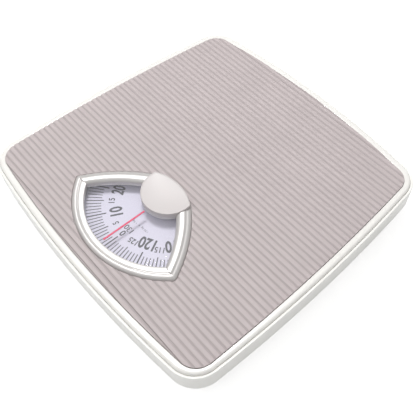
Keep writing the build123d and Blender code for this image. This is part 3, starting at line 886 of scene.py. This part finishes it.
# metres, and degrees of roll: the camera looks down on the mat from the toe edge's left
CAMERA_PLACE = Vector((-0.26584, 0.21205, 0.47540))
CAMERA_AIMS_AT = Vector((-0.03333, 0.02476, 0.044))
CAMERA_ROLL = -2.307
LAMPS_AIM_AT = Vector((0, 0.02, 0.03))


class SCALE_OT_stage(bpy.types.Operator):
    """Adds the pale floor, the soft lights, the world and the camera."""

    bl_idname = "scale.stage"
    bl_label = "Stage"

    def execute(self, context):
        scene = context.scene
        bpy.ops.object.select_all(action="DESELECT")
        bpy.ops.mesh.primitive_plane_add(size=12.0, location=(0, 0, 0))
        floor = context.active_object
        floor.name = "floor"
        paper = finish(
            "white_paper", linear("#FBFBFB"), 0.9, ior=1.45, grain_mm=200.0, relief=0.0, vary=0.003
        )
        # a glow that lights nothing keeps the paper white round the scale
        glow = paper.node_tree.nodes["Principled BSDF"]
        glow.inputs["Emission Color"].default_value = (1, 1, 1, 1)
        ray = add(paper.node_tree, "ShaderNodeLightPath")
        scaled = add(paper.node_tree, "ShaderNodeMath", {"operation": "MULTIPLY"})
        glow_strength = 0.5
        scaled.inputs[1].default_value = glow_strength
        paper.node_tree.links.new(ray.outputs["Is Camera Ray"], scaled.inputs[0])
        paper.node_tree.links.new(scaled.outputs["Value"], glow.inputs["Emission Strength"])
        floor.data.materials.append(paper)

        # each lamp's name, place and disc width in metres, and power in watts
        lamps = (
            ("key_light", (0.45, -0.2, 1.4), 0.42, 12.5),
            ("fill_light", (0.5, 1.0, 1.5), 1.6, 4.0),
        )
        for name, place, size, power in lamps:
            bpy.ops.object.light_add(type="AREA", location=place)
            lamp = context.active_object
            lamp.name = name
            lamp.data.shape = "DISK"
            lamp.data.size = size
            lamp.data.energy = power
            beam = LAMPS_AIM_AT - Vector(place)
            lamp.rotation_euler = beam.to_track_quat("-Z", "Y").to_euler()

        world = scene.world or bpy.data.worlds.new("studio")
        scene.world = world
        world.use_nodes = True
        tree = world.node_tree
        # a white ceiling over slightly greyer walls, which the plated frame reflects
        place = add(tree, "ShaderNodeTexCoord")
        split = add(tree, "ShaderNodeSeparateXYZ", None, Vector=place.outputs["Generated"])
        walls = add(tree, "ShaderNodeValToRGB", None, Fac=split.outputs["Z"])
        walls.color_ramp.elements[0].position = 0.0
        walls.color_ramp.elements[0].color = (0.5, 0.5, 0.51, 1)
        walls.color_ramp.elements[1].position = 0.55
        walls.color_ramp.elements[1].color = (1, 1, 1, 1)
        sky = tree.nodes["Background"]
        sky.inputs["Strength"].default_value = 0.55
        tree.links.new(walls.outputs["Color"], sky.inputs["Color"])
        plain = add(tree, "ShaderNodeBackground", {"@Color": (0.93, 0.93, 0.93, 1), "@Strength": 1.0})
        ray = add(tree, "ShaderNodeLightPath")
        both = add(tree, "ShaderNodeMixShader", None, Fac=ray.outputs["Is Camera Ray"])
        tree.links.new(sky.outputs["Background"], both.inputs[1])
        tree.links.new(plain.outputs["Background"], both.inputs[2])
        tree.links.new(both.outputs["Shader"], tree.nodes["World Output"].inputs["Surface"])

        camera_data = bpy.data.cameras.new("camera")
        camera_data.sensor_width = 36.0
        camera_data.lens = 54.19
        camera_data.clip_start = 10 * MM
        camera = bpy.data.objects.new("camera", camera_data)
        context.collection.objects.link(camera)
        view = (CAMERA_AIMS_AT - CAMERA_PLACE).to_track_quat("-Z", "Y").to_matrix().to_4x4()
        roll = Matrix.Rotation(math.radians(CAMERA_ROLL), 4, "Z")
        camera.matrix_world = Matrix.Translation(CAMERA_PLACE) @ view @ roll
        scene.camera = camera
        scene.view_settings.view_transform = "Standard"
        return {"FINISHED"}


class SCALE_PT_pieces(bpy.types.Panel):
    """Lists the pieces of the scale."""

    bl_idname = "SCALE_PT_pieces"
    bl_label = "Personal scale"
    bl_space_type = "VIEW_3D"
    bl_region_type = "UI"
    bl_category = "Scale"

    def draw(self, context):
        for operator in OPERATORS:
            self.layout.operator(operator.bl_idname)


OPERATORS = (
    SCALE_OT_tray,
    SCALE_OT_cover,
    SCALE_OT_mat,
    SCALE_OT_window_frame,
    SCALE_OT_cap,
    SCALE_OT_dial_marks,
    SCALE_OT_dial_numbers,
    SCALE_OT_inner_finishes,
    SCALE_OT_stage,
)
GROUPS = {
    "scale_body": ScaleBody,
    "scale_mat": ScaleMat,
    "scale_window": ScaleWindow,
    "scale_colours": ScaleColours,
}


def register():
    for group in GROUPS.values():
        bpy.utils.register_class(group)
    for name, group in GROUPS.items():
        setattr(bpy.types.Scene, name, PointerProperty(type=group))
    for item in OPERATORS:
        bpy.utils.register_class(item)
    bpy.utils.register_class(SCALE_PT_pieces)


def unregister():
    bpy.utils.unregister_class(SCALE_PT_pieces)
    for item in reversed(OPERATORS):
        bpy.utils.unregister_class(item)
    for name, group in GROUPS.items():
        delattr(bpy.types.Scene, name)
        bpy.utils.unregister_class(group)


def corners(pair):
    """The two corners of a box as plain lists."""
    return [[float(v) for v in corner] for corner in pair]


def main():
    """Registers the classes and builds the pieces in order."""
    register()
    bpy.ops.scale.tray()
    bpy.ops.scale.cover()
    bpy.ops.scale.mat()
    bpy.ops.scale.window_frame()
    bpy.ops.scale.cap()
    bpy.ops.scale.dial_marks()
    bpy.ops.scale.dial_numbers()
    bpy.ops.scale.inner_finishes()
    bpy.ops.scale.stage()


if __name__ == "__main__":
    main()
